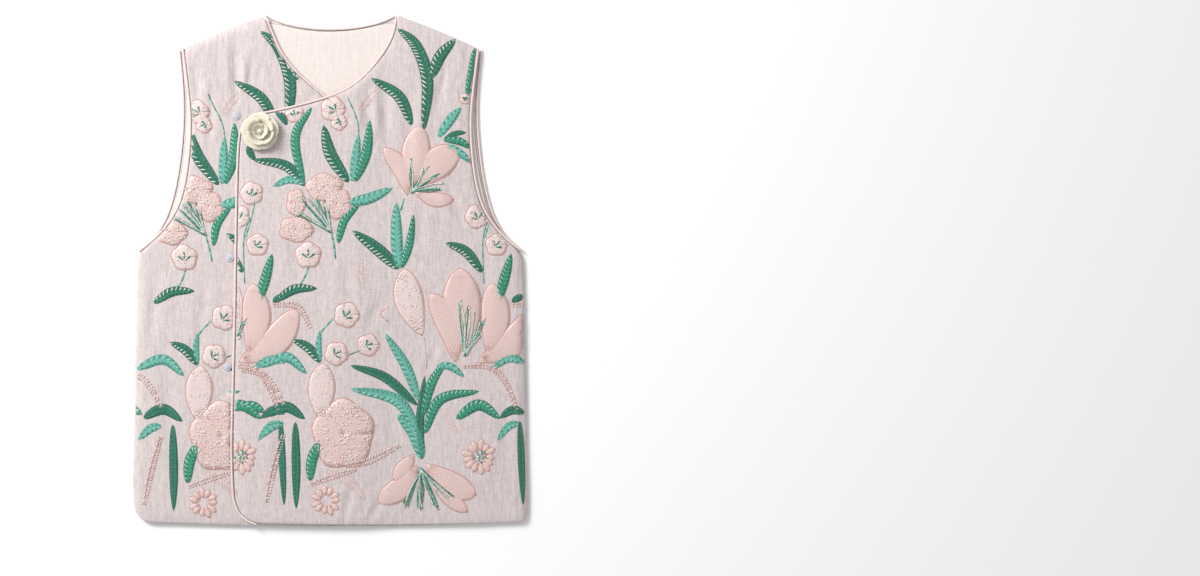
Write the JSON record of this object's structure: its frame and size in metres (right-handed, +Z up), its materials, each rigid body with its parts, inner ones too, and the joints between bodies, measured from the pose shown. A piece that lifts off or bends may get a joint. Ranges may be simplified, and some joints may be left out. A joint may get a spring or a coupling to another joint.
{
  "type": "embroidered waistcoat",
  "caption": "Lightly wadded sleeveless waistcoat laid flat, left front lapped over right, piped edges, cloth rose button and flower embroidery.",
  "frame": {"origin": "on the resting plane, under the middle of the whole garment", "axes": "+X to the right as laid, which is the wearer's left; +Y from the hem towards the neck; +Z up, away from the resting plane"},
  "size_m": [0.462, 0.598, 0.0281],
  "materials": {
    "pink_cloth": "matte crinkled linen with a light nap",
    "cream_lining": "satin jacquard with a soft sheen",
    "piping_satin": "soft satin",
    "rose_cloth": "matte fine cotton",
    "clear_snap": "glossy, slightly translucent",
    "green_thread": "silky thread",
    "teal_thread": "silky thread",
    "pink_thread": "silky thread",
    "pearl_beads": "pearly"
  },
  "bodies": {
    "root": {"back": "pink_cloth", "back_lining": "cream_lining", "front_right": "pink_cloth", "front_left": "pink_cloth", "piping_back_neck": "piping_satin", "piping_right_neck": "piping_satin", "piping_front_edge": "piping_satin", "piping_right_armhole_front": "piping_satin", "piping_right_armhole_back": "piping_satin", "piping_left_armhole_front": "piping_satin", "piping_left_armhole_back": "piping_satin", "rose_base": "rose_cloth", "rose_outer_petal_1": "rose_cloth", "rose_outer_petal_2": "rose_cloth", "rose_outer_petal_3": "rose_cloth", "rose_outer_petal_4": "rose_cloth", "rose_outer_petal_5": "rose_cloth", "rose_middle_petal_1": "rose_cloth", "rose_middle_petal_2": "rose_cloth", "rose_middle_petal_3": "rose_cloth", "rose_middle_petal_4": "rose_cloth", "rose_inner_petal_1": "rose_cloth", "rose_inner_petal_2": "rose_cloth", "rose_inner_petal_3": "rose_cloth", "rose_bud": "rose_cloth", "snap_top": "clear_snap", "snap_middle": "clear_snap", "snap_bottom": "clear_snap"}
  },
  "joints": []
}
